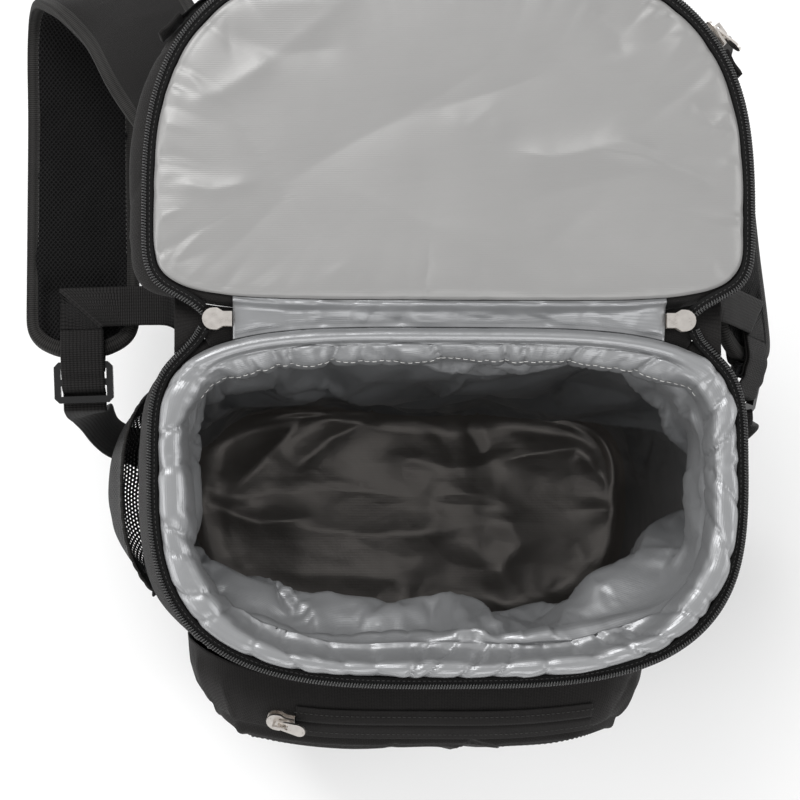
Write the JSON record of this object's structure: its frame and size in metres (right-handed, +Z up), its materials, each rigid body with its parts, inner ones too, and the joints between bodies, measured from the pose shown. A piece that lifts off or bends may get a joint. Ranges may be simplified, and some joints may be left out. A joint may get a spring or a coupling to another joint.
{
  "type": "cooler backpack",
  "caption": "Soft insulated backpack with a lined main compartment, its zipped lid thrown back, a front zip pocket, side net pockets and padded shoulder straps.",
  "frame": {"origin": "middle of the base's underside", "axes": "+Z up, -Y towards the front pocket, +X to the right as seen from the front"},
  "size_m": [0.4526, 0.4592, 0.404],
  "materials": {
    "woven_fabric": "black woven polyester",
    "silver_lining": "soft silver grey coated lining",
    "zip_tape": "black zip tape with a nylon coil",
    "webbing": "black ribbed webbing",
    "net": "black knitted net",
    "padded_mesh": "black padded air mesh",
    "buckle_plastic": "black moulded plastic",
    "nickel": "satin nickel"
  },
  "bodies": {
    "backpack": {"outer_shell": "woven_fabric", "liner": "silver_lining", "rim_zip": "zip_tape", "lid_cover": "woven_fabric", "lid_lining": "silver_lining", "lid_zip": "zip_tape", "hinge_backing": "woven_fabric", "hinge_lining": "silver_lining", "left_slider": "nickel", "right_slider": "nickel", "front_pocket": "woven_fabric", "front_pocket_zip": "zip_tape", "front_pocket_slider": "nickel", "lid_pocket_zip": "zip_tape", "lid_tab_right": "woven_fabric", "lid_tab_left": "woven_fabric", "lid_pocket_slider": "nickel", "net_pocket_left": "net", "net_band_left": "webbing", "strap_left": "woven_fabric", "lock_loop_left": "webbing", "ladder_lock_left": "buckle_plastic", "strap_webbing_left": "webbing", "net_pocket_right": "net", "net_band_right": "webbing", "strap_right": "woven_fabric", "lock_loop_right": "webbing", "ladder_lock_right": "buckle_plastic", "strap_webbing_right": "webbing", "back_panel": "padded_mesh"},
    "left_pull": {"left_pull": "nickel"},
    "right_pull": {"right_pull": "nickel"},
    "front_pocket_pull": {"front_pocket_pull": "nickel"},
    "lid_pocket_pull": {"lid_pocket_pull": "nickel"}
  },
  "joints": [
    {"name": "left_pull_swing", "type": "hinge", "parent": "backpack", "child": "left_pull", "pos_m": [-0.118, 0.092, 0.39268], "axis": [0, 1, 0], "range_deg": [-65, 8]},
    {"name": "right_pull_swing", "type": "hinge", "parent": "backpack", "child": "right_pull", "pos_m": [0.118, 0.092, 0.39268], "axis": [0, -1, 0], "range_deg": [-65, 8]},
    {"name": "front_pocket_pull_swing", "type": "hinge", "parent": "backpack", "child": "front_pocket_pull", "pos_m": [-0.08672, -0.12113, 0.31385], "axis": [-0.0638, -0.7895, -0.6104], "range_deg": [-2, 150]},
    {"name": "lid_pocket_pull_swing", "type": "hinge", "parent": "backpack", "child": "lid_pocket_pull", "pos_m": [0.14113, 0.24428, 0.3856], "axis": [0, 0, 1], "range_deg": [-2, 150]}
  ]
}
